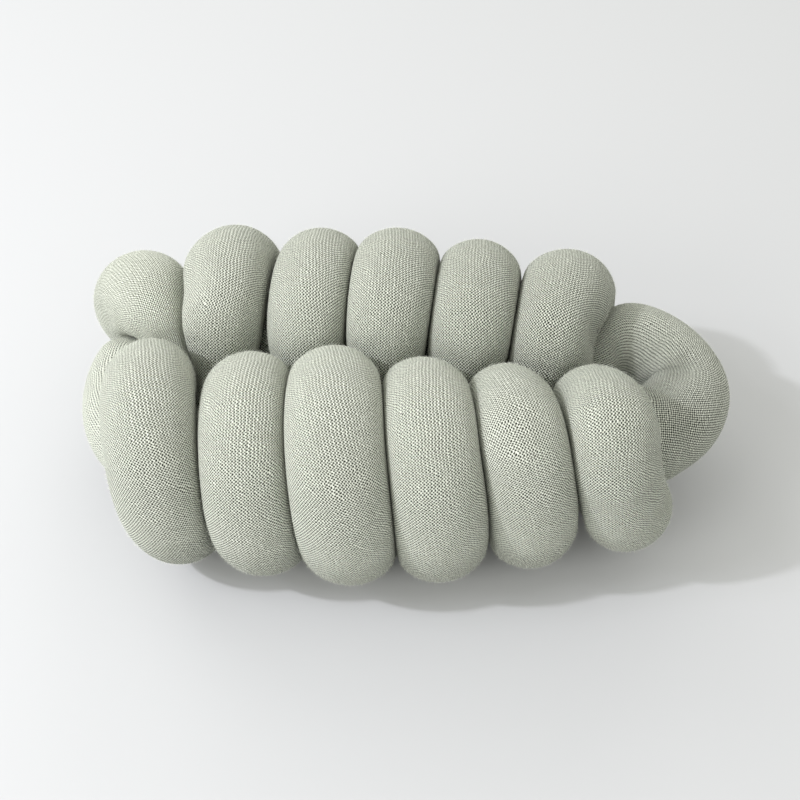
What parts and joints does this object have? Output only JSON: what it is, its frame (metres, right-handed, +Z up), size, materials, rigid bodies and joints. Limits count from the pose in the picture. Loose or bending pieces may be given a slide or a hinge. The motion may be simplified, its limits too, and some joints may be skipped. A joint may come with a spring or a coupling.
{
  "type": "knotted tube cushion",
  "caption": "Soft oblong throw cushion made of one long stuffed knitted tube, looped into a ring and wound over itself in figures of eight so that plump rolls show on both sides.",
  "frame": {"origin": "on the surface it lies on, under the middle of the cushion's bounding box", "axes": "+X along the cushion towards its open loop, +Y towards the back row of rolls, +Z up"},
  "size_m": [0.5276, 0.3048, 0.1814],
  "materials": {
    "sage_knit": "matte plain knit, pale sage green"
  },
  "bodies": {
    "root": {"knotted_tube": "sage_knit"}
  },
  "joints": []
}
